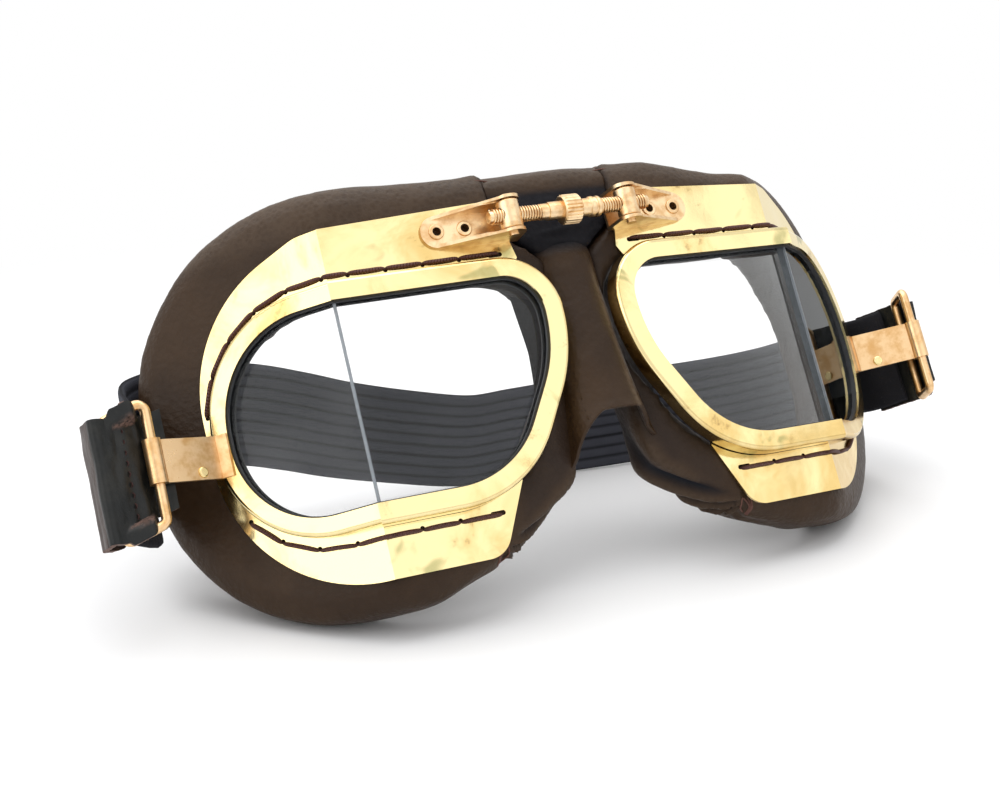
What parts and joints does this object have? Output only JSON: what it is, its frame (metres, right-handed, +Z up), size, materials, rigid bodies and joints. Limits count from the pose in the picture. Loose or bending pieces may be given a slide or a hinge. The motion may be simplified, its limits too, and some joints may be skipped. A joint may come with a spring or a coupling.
{
  "type": "flying goggles",
  "caption": "Split-lens flying goggles: hinged brass eye frames on a screw adjuster, padded leather mask and an elastic head strap on wire loops.",
  "frame": {"origin": "on the table under the middle of the bounding box", "axes": "+X to the right of the picture along the longest extent, +Y from the lenses back towards the head, +Z up"},
  "size_m": [0.2164, 0.078, 0.0889],
  "materials": {
    "plate_brass": "polished",
    "fitting_brass": "satin",
    "aged_brass": "patinated satin",
    "lens_glass": "clear",
    "gasket_rubber": "matte",
    "mask_leather": "soft grained, satin",
    "tab_leather": "polished, creased",
    "strap_elastic": "ribbed elastic webbing"
  },
  "bodies": {
    "bridge": {"brow_leather": "mask_leather", "nose_saddle": "mask_leather", "elastic_strap": "strap_elastic"},
    "adjuster": {"adjuster_sleeve": "fitting_brass", "thumbwheel": "fitting_brass", "adjuster_screw_left": "fitting_brass", "adjuster_screw_right": "fitting_brass"},
    "nut_left": {"trunnion_left": "fitting_brass"},
    "nut_right": {"trunnion_right": "fitting_brass"},
    "eye_left": {"base_plate_left": "plate_brass", "rim_cover_left": "plate_brass", "lens_front_left": "lens_glass", "lens_side_left": "lens_glass", "lens_gasket_left": "gasket_rubber", "nose_bracket_left": "fitting_brass", "bracket_eyelets_left": "fitting_brass", "temple_bracket_left": "aged_brass", "temple_rivet_left": "plate_brass", "mask_pad_left": "mask_leather"},
    "eye_right": {"base_plate_right": "plate_brass", "rim_cover_right": "plate_brass", "lens_front_right": "lens_glass", "lens_side_right": "lens_glass", "lens_gasket_right": "gasket_rubber", "nose_bracket_right": "fitting_brass", "bracket_eyelets_right": "fitting_brass", "temple_bracket_right": "aged_brass", "temple_rivet_right": "plate_brass", "mask_pad_right": "mask_leather"},
    "loop_left": {"wire_loop_left": "aged_brass", "leather_tab_left": "tab_leather"},
    "loop_right": {"wire_loop_right": "aged_brass", "leather_tab_right": "tab_leather"}
  },
  "joints": [
    {"name": "thumbwheel_spin", "type": "hinge", "parent": "bridge", "child": "adjuster", "pos_m": [0.00283, -0.00593, 0.08172], "axis": [1, 0, 0], "range_deg": [-2300, 1210]},
    {"name": "nut_slide_left", "type": "slide", "parent": "bridge", "child": "nut_left", "axis": [-1, 0, 0], "range_m": [-0.0042, 0.0022], "deforming": ["nose_saddle"]},
    {"name": "nut_slide_right", "type": "slide", "parent": "bridge", "child": "nut_right", "axis": [1, 0, 0], "range_m": [-0.0042, 0.0022], "deforming": ["brow_leather"]},
    {"name": "eye_turn_left", "type": "hinge", "parent": "nut_left", "child": "eye_left", "pos_m": [-0.01217, -0.00593, 0.08172], "axis": [0, -0.5344, -0.8453], "range_deg": [-6, 14]},
    {"name": "eye_turn_right", "type": "hinge", "parent": "nut_right", "child": "eye_right", "pos_m": [0.01783, -0.00593, 0.08172], "axis": [0, 0.5344, 0.8453], "range_deg": [-6, 14]},
    {"name": "loop_swing_left", "type": "hinge", "parent": "eye_left", "child": "loop_left", "pos_m": [-0.09628, -0.01143, 0.0393], "axis": [0, -0.5344, -0.8453], "range_deg": [-12, 12], "deforming": ["elastic_strap"]},
    {"name": "loop_swing_right", "type": "hinge", "parent": "eye_right", "child": "loop_right", "pos_m": [0.10195, -0.01143, 0.0393], "axis": [0, 0.5344, 0.8453], "range_deg": [-12, 12]}
  ],
  "couplings": [
    {"joint": "nut_slide_right", "follows": "nut_slide_left", "ratio": 1},
    {"joint": "thumbwheel_spin", "follows": "nut_slide_left", "rad_per_m": 9520}
  ]
}
